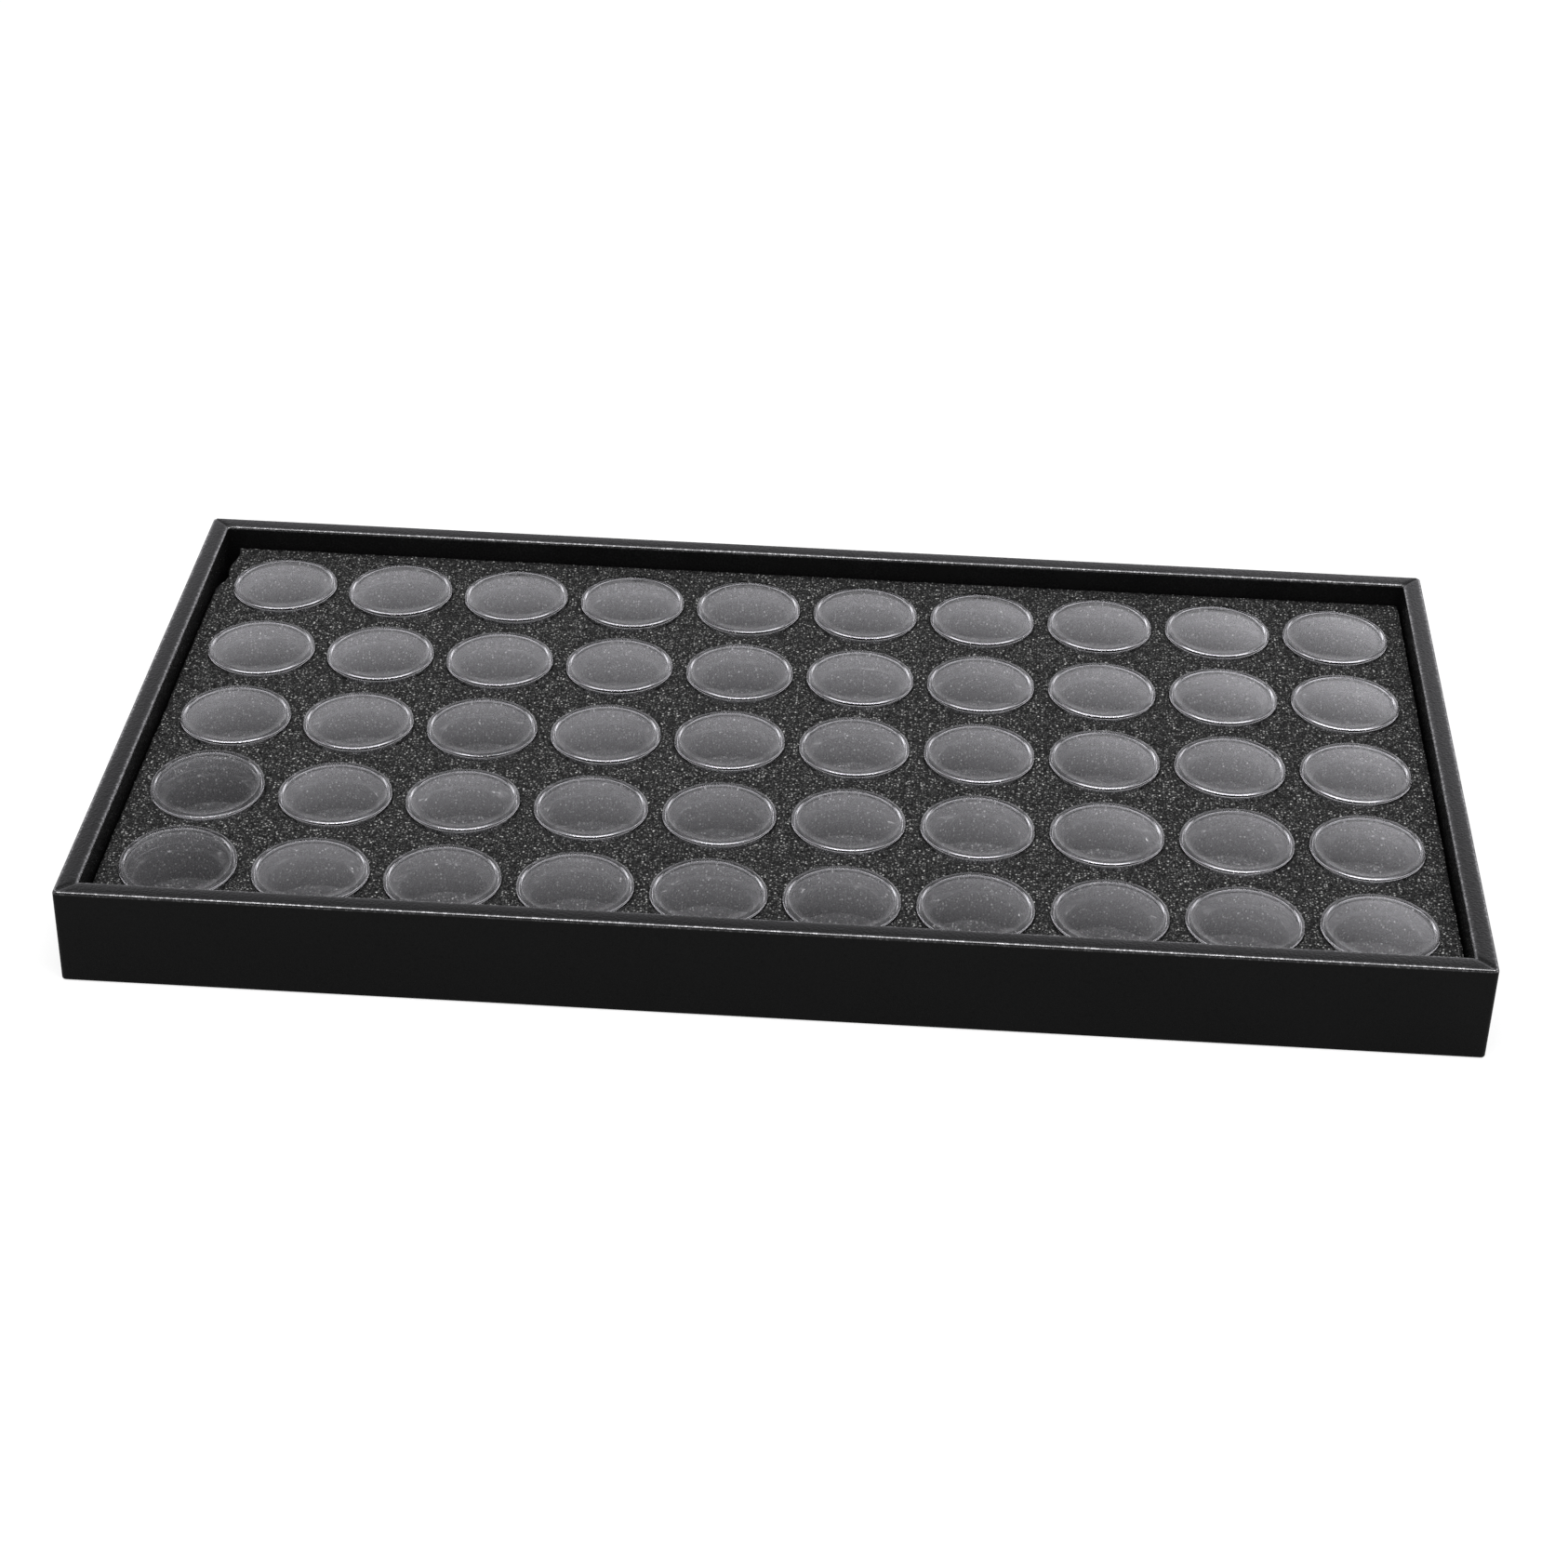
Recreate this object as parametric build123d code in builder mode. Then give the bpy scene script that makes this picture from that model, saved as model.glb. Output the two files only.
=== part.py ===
"""Nail art storage box: a shallow leatherette tray that holds clear screwless jars in a foam insert.

Millimetres. X runs along the long side, Y from the front rail to the rear rail, Z up.
The origin is the middle of the underside. The box is laid out from its jars outwards: the jars
set the holes, the holes and the webs between them set the foam, and the foam sets the tray.
"""
import os

from build123d import *

os.makedirs("parts", exist_ok=True)

# Jar: a cup with a neck, and a push-on lid as wide as the cup
jar_radius = 15.9
cup_height = 15.3
cup_floor = 1.5
cup_wall = 1.0
cup_floor_fillet = 1.2
cup_foot_fillet = 0.8
cup_rim_fillet = 0.25
lid_plate = 1.2
lid_wall = 0.9
lid_skirt = 5.4
lid_edge_fillet = 0.5
lid_hem_fillet = 0.2
lid_clearance = 0.25
skirt_gap = 0.3

# Grid of jars, counted from the rear left corner
jar_columns = 10
jar_rows = 5
web_across = 3.1
web_along = 5.6

# Foam insert: a punched sheet on a plain backing sheet
hole_clearance = 0.3
lid_proud = 1.2
backing_thickness = 2.6
side_margin = 4.85
front_margin = 1.7
rear_margin = 6.5
insert_clearance = 0.9

# Tray: wooden rails and base panel under a leatherette wrap
rail_width = 4.6
wrap_thickness = 0.6
base_thickness = 3.0
rim_height = 6.7
corner_radius = 1.4
rim_edge_radius = 0.9
foot_edge_radius = 0.4
hem_width = 9.0
hem_gap = 0.3

# Jar and hole sizes that follow from the values above
lid_bore_radius = jar_radius - lid_wall
neck_radius = lid_bore_radius - lid_clearance
cup_bore_radius = neck_radius - cup_wall
hole_radius = jar_radius + hole_clearance
shoulder_height = cup_height - lid_skirt - skirt_gap
jar_height = cup_height + lid_plate
pitch_across = 2 * hole_radius + web_across
pitch_along = 2 * hole_radius + web_along

# Heights, stacked up from the surface that the tray stands on
panel_bottom = wrap_thickness
panel_top = panel_bottom + base_thickness
backing_top = panel_top + backing_thickness
foam_thickness = jar_height - lid_proud
foam_top = backing_top + foam_thickness
tray_height = foam_top + rim_height
rail_top = tray_height - wrap_thickness
cup_rim = backing_top + cup_height

# Plan sizes, from the holes out to the outer face of the wrap
foam_width = (jar_columns - 1) * pitch_across + 2 * (hole_radius + side_margin)
foam_depth = (jar_rows - 1) * pitch_along + 2 * hole_radius + front_margin + rear_margin
cavity_width = foam_width + 2 * insert_clearance
cavity_depth = foam_depth + 2 * insert_clearance
panel_width = cavity_width + 2 * wrap_thickness
panel_depth = cavity_depth + 2 * wrap_thickness
core_width = panel_width + 2 * rail_width
core_depth = panel_depth + 2 * rail_width
tray_width = core_width + 2 * wrap_thickness
tray_depth = core_depth + 2 * wrap_thickness
window_width = tray_width - 2 * hem_width
window_depth = tray_depth - 2 * hem_width
grid_centre = (0, (front_margin - rear_margin) / 2)


def export(piece, name):
    """Labels a finished piece and writes it under the same name."""
    piece.part.label = name
    export_step(piece.part, f"parts/{name}.step")


def jar_grid():
    """The places of all the jars, on the plane of the sketch around it."""
    return GridLocations(pitch_across, pitch_along, jar_columns, jar_rows)


# Rails: wooden strips, mitred at the corners
core_x, core_y = core_width / 2, core_depth / 2
panel_x, panel_y = panel_width / 2, panel_depth / 2
rail_outlines = {
    "front_rail": [(-core_x, -core_y), (core_x, -core_y), (panel_x, -panel_y), (-panel_x, -panel_y)],
    "rear_rail": [(core_x, core_y), (-core_x, core_y), (-panel_x, panel_y), (panel_x, panel_y)],
    "left_rail": [(-core_x, core_y), (-core_x, -core_y), (-panel_x, -panel_y), (-panel_x, panel_y)],
    "right_rail": [(core_x, -core_y), (core_x, core_y), (panel_x, panel_y), (panel_x, -panel_y)],
}
for rail_name, outline in rail_outlines.items():
    with BuildPart() as rail:
        with BuildSketch(Plane.XY.offset(panel_bottom)):
            with BuildLine():
                Polyline(*outline, close=True)
            make_face()
        extrude(amount=rail_top - panel_bottom)
    export(rail, rail_name)

# Base panel: fills the frame of rails at its lower edge
with BuildPart() as base_panel:
    with BuildSketch(Plane.XY.offset(panel_bottom)):
        Rectangle(panel_width, panel_depth)
    extrude(amount=base_thickness)
export(base_panel, "base_panel")

# Leatherette wrap: one skin over the outside, the rim and the inside of the rails, hemmed below
with BuildPart() as leatherette_wrap:
    with BuildSketch():
        Rectangle(tray_width, tray_depth)
    extrude(amount=tray_height)
    fillet(leatherette_wrap.edges().filter_by(Axis.Z), radius=corner_radius)
    fillet(leatherette_wrap.faces().sort_by(Axis.Z)[0].edges(), radius=foot_edge_radius)
    with BuildSketch(Plane.XY.offset(panel_top)):
        Rectangle(cavity_width, cavity_depth)
    extrude(amount=tray_height - panel_top, mode=Mode.SUBTRACT)
    fillet(leatherette_wrap.faces().sort_by(Axis.Z)[-1].edges(), radius=rim_edge_radius)
    with BuildSketch(Plane.XY.offset(panel_bottom)):
        Rectangle(core_width, core_depth)
    extrude(amount=base_thickness, mode=Mode.SUBTRACT)
    with BuildSketch(Plane.XY.offset(panel_top)):
        Rectangle(core_width, core_depth)
        Rectangle(panel_width, panel_depth, mode=Mode.SUBTRACT)
    extrude(amount=rail_top - panel_top, mode=Mode.SUBTRACT)
    with BuildSketch():
        Rectangle(window_width, window_depth)
    extrude(amount=panel_bottom, mode=Mode.SUBTRACT)
export(leatherette_wrap, "leatherette_wrap")

# Underside sheet: fills the window that the hem leaves, and carries the tray
with BuildPart() as underside_sheet:
    with BuildSketch():
        Rectangle(window_width - 2 * hem_gap, window_depth - 2 * hem_gap)
    extrude(amount=wrap_thickness)
export(underside_sheet, "underside_sheet")

# Foam backing: the plain sheet that the jars stand on
with BuildPart() as foam_backing:
    with BuildSketch(Plane.XY.offset(panel_top)):
        Rectangle(foam_width, foam_depth)
    extrude(amount=backing_thickness)
export(foam_backing, "foam_backing")

# Foam sheet: punched right through for the jars
with BuildPart() as foam_sheet:
    with BuildSketch(Plane.XY.offset(backing_top)):
        Rectangle(foam_width, foam_depth)
        with Locations(grid_centre):
            with jar_grid():
                Circle(hole_radius, mode=Mode.SUBTRACT)
    extrude(amount=foam_thickness)
export(foam_sheet, "foam_sheet")

# Jar cups: clear, all alike, standing on the backing with their necks up
with BuildPart() as jar_cups:
    with BuildSketch(Plane.XY.offset(backing_top)):
        with Locations(grid_centre):
            with jar_grid():
                Circle(jar_radius)
    extrude(amount=shoulder_height)
    fillet(jar_cups.edges().group_by(Axis.Z)[0], radius=cup_foot_fillet)
    with BuildSketch(Plane.XY.offset(backing_top + shoulder_height)):
        with Locations(grid_centre):
            with jar_grid():
                Circle(neck_radius)
    extrude(amount=cup_height - shoulder_height)
    with BuildSketch(Plane.XY.offset(backing_top + cup_floor)):
        with Locations(grid_centre):
            with jar_grid():
                Circle(cup_bore_radius)
    extrude(amount=cup_height - cup_floor, mode=Mode.SUBTRACT)
    floor_edges = jar_cups.edges().filter_by(
        lambda edge: abs(edge.center().Z - backing_top - cup_floor) < 1e-4
    )
    fillet(floor_edges, radius=cup_floor_fillet)
    rim_edges = jar_cups.edges().filter_by(lambda edge: abs(edge.center().Z - cup_rim) < 1e-4)
    fillet(rim_edges, radius=cup_rim_fillet)
export(jar_cups, "jar_cups")

# Lids: one to each jar, the plate resting on the rim of the cup
first_x = grid_centre[0] - (jar_columns - 1) * pitch_across / 2
first_y = grid_centre[1] + (jar_rows - 1) * pitch_along / 2
for row in range(jar_rows):
    for column in range(jar_columns):
        lid_x = first_x + column * pitch_across
        lid_y = first_y - row * pitch_along
        skirt_plane = Plane(origin=(lid_x, lid_y, cup_rim - lid_skirt))
        with BuildPart() as lid:
            with BuildSketch(skirt_plane):
                Circle(jar_radius)
            extrude(amount=lid_skirt + lid_plate)
            fillet(lid.edges().group_by(Axis.Z)[-1], radius=lid_edge_fillet)
            fillet(lid.edges().group_by(Axis.Z)[0], radius=lid_hem_fillet)
            with BuildSketch(skirt_plane):
                Circle(lid_bore_radius)
            extrude(amount=lid_skirt, mode=Mode.SUBTRACT)
        export(lid, f"lid_r{row + 1}_c{column + 1}")

print("tray", round(tray_width, 3), round(tray_depth, 3), round(tray_height, 3))
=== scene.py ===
"""Looks of the nail art storage box: leatherette tray, punched foam insert and clear jars.

Laid out as an add-on and run as a script. Metres, X along the long side, Y to the rear, Z up.
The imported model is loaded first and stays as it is; new skins are worked out with numpy from
its boxes and ride on its bodies.
"""
import math

import bmesh
import bpy
import numpy as np
from mathutils import Matrix, Vector


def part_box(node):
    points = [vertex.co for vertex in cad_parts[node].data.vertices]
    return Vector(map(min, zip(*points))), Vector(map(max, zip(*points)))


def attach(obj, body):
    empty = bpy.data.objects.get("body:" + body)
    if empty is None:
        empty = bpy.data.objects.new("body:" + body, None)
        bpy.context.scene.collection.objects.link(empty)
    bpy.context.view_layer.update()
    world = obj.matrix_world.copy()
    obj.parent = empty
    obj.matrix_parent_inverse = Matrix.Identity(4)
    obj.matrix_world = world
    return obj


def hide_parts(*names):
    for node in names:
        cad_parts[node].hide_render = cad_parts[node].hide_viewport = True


bl_info = {
    "name": "Nail art storage box",
    "version": (1, 0, 0),
    "blender": (4, 5, 0),
    "location": "View3D > Sidebar > Jar tray",
    "description": "Dresses a jar tray: leatherette, foam and clear jars",
    "category": "Object",
}

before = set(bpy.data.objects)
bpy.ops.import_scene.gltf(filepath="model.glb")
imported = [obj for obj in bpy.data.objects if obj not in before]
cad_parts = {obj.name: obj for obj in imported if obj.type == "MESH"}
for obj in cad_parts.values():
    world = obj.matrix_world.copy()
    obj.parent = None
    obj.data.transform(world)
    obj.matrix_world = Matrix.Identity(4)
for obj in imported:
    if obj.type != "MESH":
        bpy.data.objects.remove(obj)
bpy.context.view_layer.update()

MM = 0.001
SENSOR_MM = 36.0
# Metres below which points are welded, edges are dropped, and a point lies on an edge of the foam
WELD = 2e-7
SLIVER = 1e-8
TOUCHING = 1e-6

LID_NODES = sorted(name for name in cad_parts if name.startswith("lid_r"))
FIRST_LID = "lid_r1_c1"
# The two lids that aren't pressed home, at the front left
LOOSE_LIDS = ("lid_r4_c1", "lid_r5_c1")
COLUMNS = max(int(name.split("_c")[1]) for name in LID_NODES)
ROWS = len(LID_NODES) // COLUMNS


def lid_centre(name):
    """Middle of a lid in plan, from its CAD box."""
    low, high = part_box(name)
    return (low + high) / 2


def length(words, value, text):
    """A length property in metres whose default is given in millimetres."""
    return bpy.props.FloatProperty(
        name=words, description=text, default=value * MM, precision=5, unit="LENGTH"
    )


def tint(words, red, green, blue, text):
    """A linear colour property."""
    return bpy.props.FloatVectorProperty(
        name=words, description=text, default=(red, green, blue),
        size=3, min=0, max=1, subtype="COLOR",
    )


class TraySizes(bpy.types.PropertyGroup):
    """Sizes and colours of the tray and its leatherette."""

    skin: length("Skin", 0.6, "Thickness of the leatherette")
    wall: length("Wall", 5.8, "Thickness of a side, skin to skin")
    corner: length("Corner", 1.4, "Radius of the upright outer corners")
    rim_edge: length("Rim edge", 0.9, "Radius of the edges of the rim")
    foot_edge: length("Foot edge", 0.4, "Radius of the lower outer edge")
    hem: length("Hem", 9.0, "Width of the skin that is turned under the tray")
    rim_crown: length("Rim crown", 0.08, "How far the skin is crowned over a rail")
    ripple: length("Ripple", 0.05, "How far the stretched skin dips between glue points")
    seam_depth: length("Seam depth", 0.22, "Depth of the mitre seams and of the butt seam")
    seam_width: length("Seam width", 0.35, "Width of a seam's groove")
    butt_seam: length("Butt seam", 62, "How far left of the middle the ends meet at the rear")
    pebble: length("Pebble", 0.75, "Size of one pebble of the grain")
    leather: tint("Leatherette", 0.005, 0.005, 0.0051, "Colour of the leatherette")
    wood: tint("Rail wood", 0.50, 0.36, 0.22, "Colour of the sawn rails")
    board: tint("Base board", 0.035, 0.032, 0.03, "Colour of the dyed fibreboard")
    lining: tint("Lining paper", 0.022, 0.022, 0.024, "Colour of the sheet under the tray")


class FoamSizes(bpy.types.PropertyGroup):
    """Sizes and colours of the foam insert."""

    hole: length("Hole", 16.02, "Radius of a jar's hole")
    lip: length("Lip", 0.5, "How far the foam rolls down into a hole")
    cut: length("Cut", 0.35, "How far the hand-cut outline wanders")
    notch: length("Nick", 2.3, "Depth of the nick at the rear left corner")
    nick_reach: length("Nick length", 25, "Length of the nick along the left edge")
    swell: length("Swell", 0.22, "How far the foam's face dips between its high places")
    cell: length("Cell", 0.75, "Size of one open cell of the foam")
    # Spacing of the brightest painted glints on the foam: painted highlights in its colour.
    glint_spacing: length("Speck", 1.35, "Spacing of the brightest specks")
    foam: tint("Foam", 0.014, 0.014, 0.0142, "Colour of the foam")
    # Colour of the painted glints on the foam: painted highlights.
    painted_glint: tint("Sparkle", 0.85, 0.85, 0.84, "Colour of the specks")


class JarSizes(bpy.types.PropertyGroup):
    """Sizes and colours of the cups and lids."""

    lid_wall: length("Lid wall", 0.9, "Thickness of a lid's skirt")
    plate: length("Plate", 1.2, "Thickness of a lid's top")
    skirt: length("Skirt", 5.4, "Depth of a lid's skirt below its top")
    brow: length("Brow", 1.35, "Radius to which the border of a lid's face rolls off")
    ledge: length("Ledge", 0.18, "How far the skirt steps out below the border")
    ledge_drop: length("Ledge drop", 1.15, "Depth of that step below the top of a lid's box")
    lid_edge: length("Lid edge", 0.3, "Radius of a lid's upper edge")
    crown: length("Crown", 0.36, "How far a lid's face is crowned")
    sink: length("Sink", 0.1, "How far the border lies below the top of a lid's box")
    ring: length("Ring", 1.75, "Width of the raised border round a lid's face")
    step: length("Step", 0.1, "Height of the border above the face")
    warp: length("Warp", 0.16, "How far a lid is warped by its mould, drawn for each lid")
    tilt: bpy.props.FloatProperty(
        name="Tilt", description="Largest tilt of a lid on its cup",
        default=math.radians(0.5), subtype="ANGLE",
    )
    loose: bpy.props.FloatProperty(
        name="Loose", description="Tilt of the two lids that aren't pressed home",
        default=math.radians(3.4), subtype="ANGLE",
    )
    neck_gap: length("Neck gap", 0.25, "Clearance of a lid on its neck")
    skirt_gap: length("Skirt gap", 0.3, "Clearance between a lid and the shoulder")
    cup_wall: length("Cup wall", 1.0, "Thickness of a cup's neck")
    cup_floor: length("Cup floor", 1.5, "Thickness of a cup's floor")
    floor_fillet: length("Floor fillet", 0.08, "Radius inside the floor of a cup")
    foot_fillet: length("Foot fillet", 0.15, "Radius of a cup's lower edge")
    clear: tint("Clear plastic", 0.975, 0.972, 0.985, "Colour of the clear plastic")


class StageSizes(bpy.types.PropertyGroup):
    """Camera and light."""

    camera_x: length("Camera X", 35.15, "Camera place along X")
    camera_y: length("Camera Y", -794.1, "Camera place along Y")
    camera_z: length("Camera Z", 522.5, "Camera height")
    aim_x: length("Aim X", -1.57, "Point that the camera looks at, along X")
    aim_y: length("Aim Y", -11.1, "Point that the camera looks at, along Y")
    aim_z: length("Aim Z", 14.0, "Point that the camera looks at, height")
    lens: bpy.props.FloatProperty(
        name="Lens", description="Focal length in mm on a 36 mm sensor",
        default=75.6, min=10, max=300,
    )
    roll: bpy.props.FloatProperty(
        name="Roll", description="Turn of the camera about its own axis",
        default=math.radians(1.549), subtype="ANGLE",
    )
    level: bpy.props.FloatProperty(
        name="Room level", description="Strength of the plain room light",
        default=0.42, min=0, max=2,
    )


class Value:
    """One output socket in a material, so that shader maths reads as a Python expression."""

    def __init__(self, maker, socket):
        self.maker = maker
        self.socket = socket

    def maths(self, operation, *others):
        """Adds one Math node of that operation on this value and the others."""
        return self.maker.add("ShaderNodeMath", {"operation": operation}, None, self, *others)

    def __add__(self, other):
        return self.maths("ADD", other)

    __radd__ = __add__

    def __mul__(self, other):
        return self.maths("MULTIPLY", other)

    __rmul__ = __mul__

    def __sub__(self, other):
        return self.maths("SUBTRACT", other)

    def __rsub__(self, other):
        return self.maker.add("ShaderNodeMath", {"operation": "SUBTRACT"}, None, other, self)

    def __truediv__(self, other):
        return self.maths("DIVIDE", other)

    def __rtruediv__(self, other):
        return self.maker.add("ShaderNodeMath", {"operation": "DIVIDE"}, None, other, self)

    def __pow__(self, other):
        return self.maths("POWER", other)

    def clamped(self):
        """This value held between 0 and 1."""
        return self.maths("MAXIMUM", 0.0).maths("MINIMUM", 1.0)


class Finish:
    """A material, or the world, being made: adds nodes and links them."""

    def __init__(self, owner):
        owner.use_nodes = True
        self.tree = owner.node_tree
        self.tree.nodes.clear()

    def add(self, kind, settings=None, output=None, *sockets, **named):
        """Adds a node: its type, settings and the output wanted, then values or links of sockets.

        Sockets in order come as arguments, others by name with _ for a space.
        """
        node = self.tree.nodes.new(kind)
        for key, value in (settings or {}).items():
            setattr(node, key, value)
        pairs = [(node.inputs[place], value) for place, value in enumerate(sockets)]
        pairs += [(node.inputs[key.replace("_", " ")], value) for key, value in named.items()]
        for socket, value in pairs:
            if isinstance(value, Value):
                self.tree.links.new(value.socket, socket)
            elif value is not None:
                socket.default_value = value
        return Value(self, node.outputs[output or 0])

    def ramp(self, value, *stops):
        """A grey ramp through stops of (place, level)."""
        result = self.add("ShaderNodeValToRGB", None, "Color", value)
        elements = result.socket.node.color_ramp.elements
        while len(elements) < len(stops):
            elements.new(0.5)
        for element, (place, level) in zip(elements, stops):
            element.position = place
            element.color = (level, level, level, 1)
        return result

    def mix(self, factor, first, second):
        """Colour from first to second by factor."""
        result = self.add("ShaderNodeMix", {"data_type": "RGBA"}, 2)
        inputs = result.socket.node.inputs
        for socket, value in ((inputs[0], factor), (inputs[6], first), (inputs[7], second)):
            if isinstance(value, Value):
                self.tree.links.new(value.socket, socket)
            else:
                socket.default_value = value
        return result

    def beside(self, value, output):
        """Another output of the node that a value comes from."""
        return Value(self, value.socket.node.outputs[output])

    def place(self):
        """Object coordinates, in metres."""
        return self.add("ShaderNodeTexCoord", None, "Object")

    def bump(self, height, strength, distance):
        """A normal tilted by a height that is distance metres deep at 1."""
        return self.add(
            "ShaderNodeBump", None, "Normal", Height=height, Strength=strength, Distance=distance
        )

    def surface(self, **named):
        """The Principled shader, linked to the output."""
        shader = self.add("ShaderNodeBsdfPrincipled", None, "BSDF", **named)
        output = self.tree.nodes.new("ShaderNodeOutputMaterial")
        self.tree.links.new(shader.socket, output.inputs["Surface"])
        return shader


def rgba(colour, factor=1.0):
    """A property's colour as four numbers, made lighter or darker by factor."""
    return (*[min(part * factor, 1.0) for part in colour], 1.0)


def leatherette_finish(sizes):
    """Black leatherette: a pebble grain of rounded cells with creases between them, satin on top.
    The creases are painted darker, as painted shade.

    Along the edges of the rim, where the attribute wear is high, a thin coat glints in dots.
    """
    material = bpy.data.materials.new("leatherette")
    make = Finish(material)
    place = make.place()
    warp = make.add("ShaderNodeTexNoise", None, "Color", Vector=place, Scale=420.0, Detail=2.0)
    bent = make.add(
        "ShaderNodeVectorMath", {"operation": "MULTIPLY_ADD"}, None, warp,
        (0.35 * sizes.pebble,) * 3, place,
    )
    cells = make.add(
        "ShaderNodeTexVoronoi", {"feature": "SMOOTH_F1"}, "Distance",
        Vector=bent, Scale=1 / sizes.pebble, Smoothness=0.35, Randomness=0.9,
    )
    pores = make.add("ShaderNodeTexNoise", None, 0, Vector=place, Scale=2600.0, Detail=2.0)
    drift = make.add("ShaderNodeTexNoise", None, 0, Vector=place, Scale=38.0, Detail=3.0)
    pebbles = (1.0 - cells * 1.25).clamped()
    height = pebbles * 0.85 + pores * 0.15
    crease = (cells * 1.6 - 0.75).clamped()
    # Painted shade: the colour is darker in the creases between the pebbles.
    colour = make.mix(crease, rgba(sizes.leather, 1.25), rgba(sizes.leather, 0.45))
    colour = make.mix((drift * 1.8 - 0.6).clamped() * 0.35, colour, rgba(sizes.leather, 1.9))
    wear = make.add("ShaderNodeAttribute", {"attribute_name": "wear"}, "Fac")
    glints = sparkles(make, place, 1.1 * sizes.pebble, 0.6, 0.8)
    worn = (wear * (glints * 1.5 + 0.45)).clamped()
    make.surface(
        Base_Color=colour,
        Roughness=0.26 + crease * 0.3 + (drift - 0.5) * 0.1,
        Specular_IOR_Level=0.18,
        Coat_Weight=worn,
        Coat_Roughness=0.2,
        Coat_IOR=2.2,
        Normal=make.bump(height, 1.0, 0.00005),
    )
    return material


def foam_finish(sizes, name, painted_glint=1.0):
    """Charcoal foam: open cells, with painted shade darkening their pits, and painted glints of
    three sizes in the colour, small ones fainter.
    """
    material = bpy.data.materials.new(name)
    make = Finish(material)
    place = make.place()
    cells = make.add(
        "ShaderNodeTexVoronoi", None, "Distance", Vector=place, Scale=1 / sizes.cell, Randomness=1.0
    )
    fine = make.add("ShaderNodeTexNoise", None, 0, Vector=place, Scale=1900.0, Detail=3.0)
    broad = make.add("ShaderNodeTexNoise", None, 0, Vector=place, Scale=60.0, Detail=2.0)
    pits = (1.1 - cells * 1.5).clamped()
    # Painted glints: bright dots painted into the foam's colour as highlights, in three sizes. The
    # roughness is also lowered there.
    large = sparkles(make, place, sizes.glint_spacing, 0.23, 1.8) * 0.85
    medium = sparkles(make, place, 0.6 * sizes.glint_spacing, 0.36, 1.8) * 0.55
    small = sparkles(make, place, 0.4 * sizes.glint_spacing, 0.42, 1.2) * 0.2
    painted_glints = large.maths("MAXIMUM", medium).maths("MAXIMUM", small) * painted_glint
    # Painted shade: the pits of the cells are painted darker.
    colour = make.mix(pits, rgba(sizes.foam, 1.1), rgba(sizes.foam, 0.2))
    colour = make.mix((fine * 2.8 - 1.05).clamped() * 0.75, colour, rgba(sizes.foam, 4.0))
    # The painted glints are mixed into the colour here.
    colour = make.mix(painted_glints.clamped(), colour, rgba(sizes.painted_glint))
    make.surface(
        Base_Color=colour,
        Roughness=0.92 - painted_glints.clamped() * 0.5,
        Specular_IOR_Level=0.0,
        Normal=make.bump(cells * 0.7 + fine * 0.3 + broad * 0.2, 0.9, 0.0003),
    )
    return material


def sparkles(make, place, spacing, reach, rarity):
    """Small bright dots, one to a cell: 1 near the cell's point and 0 past a reach.

    Each cell's drawn lot from 0 to 1 sets the size of its dot and, to the power of rarity, how
    bright it is, so the brightest ones are rarest.
    """
    near = make.add("ShaderNodeTexVoronoi", None, "Distance", Vector=place, Scale=1 / spacing)
    lot = make.add("ShaderNodeSeparateColor", None, "Red", make.beside(near, "Color"))
    dots = ((1.0 - near / (reach * (0.5 + lot * 0.6))) * 2.5).clamped()
    return (lot ** rarity) * dots


def clear_finish(colour, name, roughness, bend):
    """Clear moulded plastic with a faint haze. Shadow rays pass it, so lamps light the foam."""
    material = bpy.data.materials.new(name)
    make = Finish(material)
    rays = make.add("ShaderNodeLightPath", None, "Is Shadow Ray")
    haze = make.add("ShaderNodeTexNoise", None, 0, Vector=make.place(), Scale=90.0, Detail=2.0)
    make.surface(
        Base_Color=rgba(colour),
        Roughness=(haze * 0.05 + roughness).clamped(),
        IOR=bend,
        Transmission_Weight=1.0,
        Alpha=1.0 - rays,
    )
    return material


def wood_finish(colour):
    """Sawn softwood: growth lines stretched along the strip, with fine saw marks across it."""
    material = bpy.data.materials.new("rail_wood")
    make = Finish(material)
    place = make.place()
    long_way = make.add("ShaderNodeMapping", None, None, place, Scale=(0.12, 0.12, 1.0))
    rings = make.add(
        "ShaderNodeTexWave", {"wave_type": "BANDS", "bands_direction": "Z"}, 1,
        Vector=long_way, Scale=55.0, Distortion=6.0, Detail=3.0, Detail_Scale=2.0,
    )
    saw = make.add("ShaderNodeTexNoise", None, 0, Vector=place, Scale=700.0, Detail=4.0)
    shade = make.mix(rings * 0.6, rgba(colour, 1.1), rgba(colour, 0.6))
    make.surface(
        Base_Color=make.mix(saw * 0.25, shade, rgba(colour, 0.8)),
        Roughness=0.68 + saw * 0.15,
        Normal=make.bump(saw * 0.6 + rings * 0.4, 0.5, 0.00015),
    )
    return material


def board_finish(colour):
    """Dyed fibreboard: short fibres in every direction over a flat dark face."""
    material = bpy.data.materials.new("base_board")
    make = Finish(material)
    place = make.place()
    fibres = make.add(
        "ShaderNodeTexNoise", None, 0, Vector=place, Scale=900.0, Detail=5.0, Distortion=2.5
    )
    clouds = make.add("ShaderNodeTexNoise", None, 0, Vector=place, Scale=40.0, Detail=2.0)
    tone = make.mix(fibres, rgba(colour, 0.6), rgba(colour, 1.8))
    make.surface(
        Base_Color=make.mix(clouds * 0.4, tone, rgba(colour, 0.9)),
        Roughness=0.78 + fibres * 0.12,
        Normal=make.bump(fibres, 0.5, 0.0001),
    )
    return material


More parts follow.
